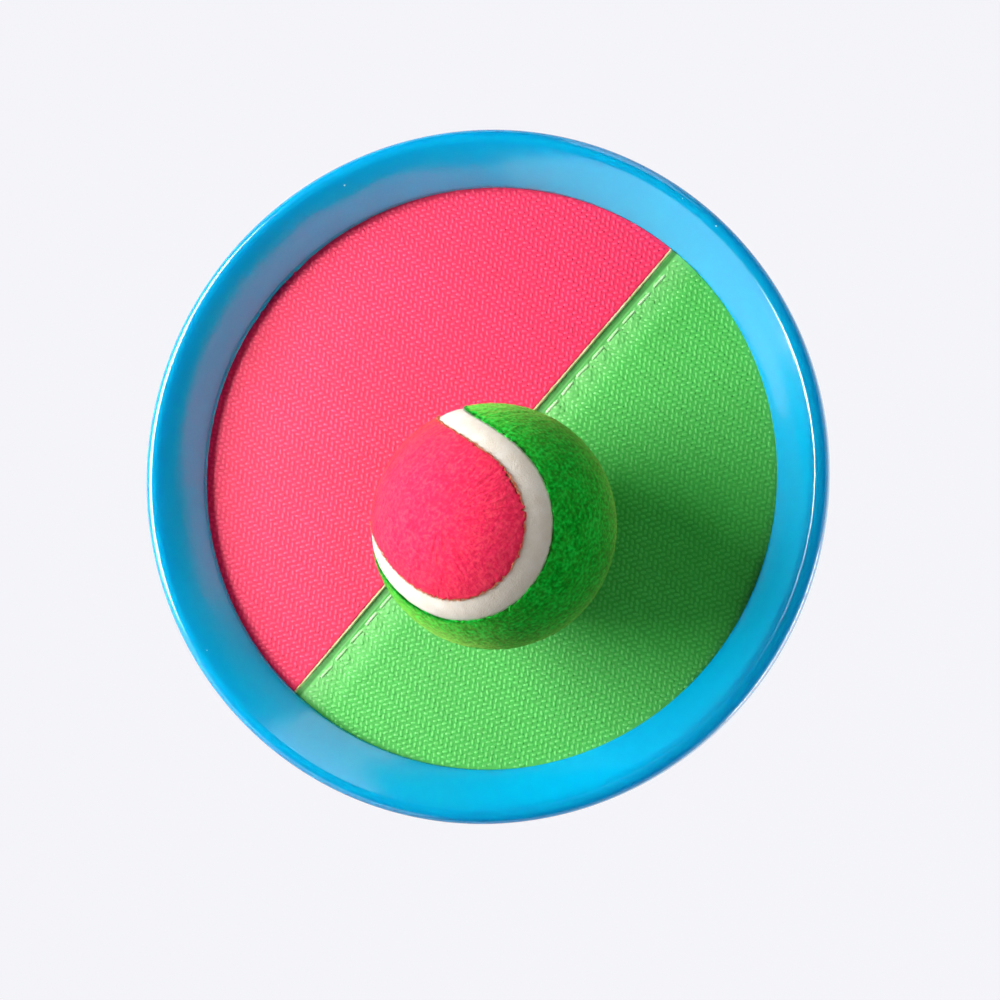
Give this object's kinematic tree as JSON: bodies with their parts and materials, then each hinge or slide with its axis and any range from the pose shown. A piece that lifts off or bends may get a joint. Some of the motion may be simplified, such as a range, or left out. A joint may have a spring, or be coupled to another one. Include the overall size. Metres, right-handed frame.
{
  "type": "hook and loop catch paddle",
  "caption": "Round dish paddle faced with hook fabric in two colours, with a hand strap behind it and a two-colour felt ball stuck on the fabric.",
  "frame": {"origin": "centre of the back face of the dish floor, where the palm lies", "axes": "+Z out of the catching face towards the ball, +X along the fabric seam and the hand strap, +Y towards the pink half"},
  "size_m": [0.1858, 0.1858, 0.1118],
  "materials": {
    "shell_blue": "glossy moulded plastic",
    "hook_pink": "woven hook field in herringbone",
    "hook_green": "woven hook field in herringbone",
    "seam_thread": "sewing thread",
    "bond_film": "adhesive film",
    "webbing": "woven nylon webbing",
    "loop_tape": "napped loop tape",
    "hook_tape": "hook tape",
    "strap_thread": "sewing thread",
    "core_rubber": "matt rubber",
    "felt_red": "napped felt",
    "felt_green": "napped felt",
    "seam_band": "short cream felt"
  },
  "bodies": {
    "paddle": {"paddle_shell": "shell_blue", "adhesive_disc": "bond_film", "hook_panel_pink": "hook_pink", "hook_panel_green": "hook_green", "panel_seam_thread": "seam_thread", "strap_span": "webbing", "strap_anchor_thread": "strap_thread", "strap_loop_pad": "loop_tape"},
    "tail": {"strap_tail": "webbing", "strap_hook_pad": "hook_tape", "strap_tail_thread": "strap_thread"},
    "ball": {"ball_core_upper": "core_rubber", "ball_core_lower": "core_rubber", "ball_felt_red": "felt_red", "ball_felt_green": "felt_green", "ball_seam_band": "seam_band"}
  },
  "joints": [
    {"name": "ball_pull_off", "type": "slide", "parent": "paddle", "child": "ball", "axis": [0, 0, 1], "range_m": [0, 0.15]},
    {"name": "strap_peel", "type": "hinge", "parent": "paddle", "child": "tail", "pos_m": [-0.04916, 0, -0.00449], "axis": [0, 1, 0], "range_deg": [0, 90]}
  ]
}
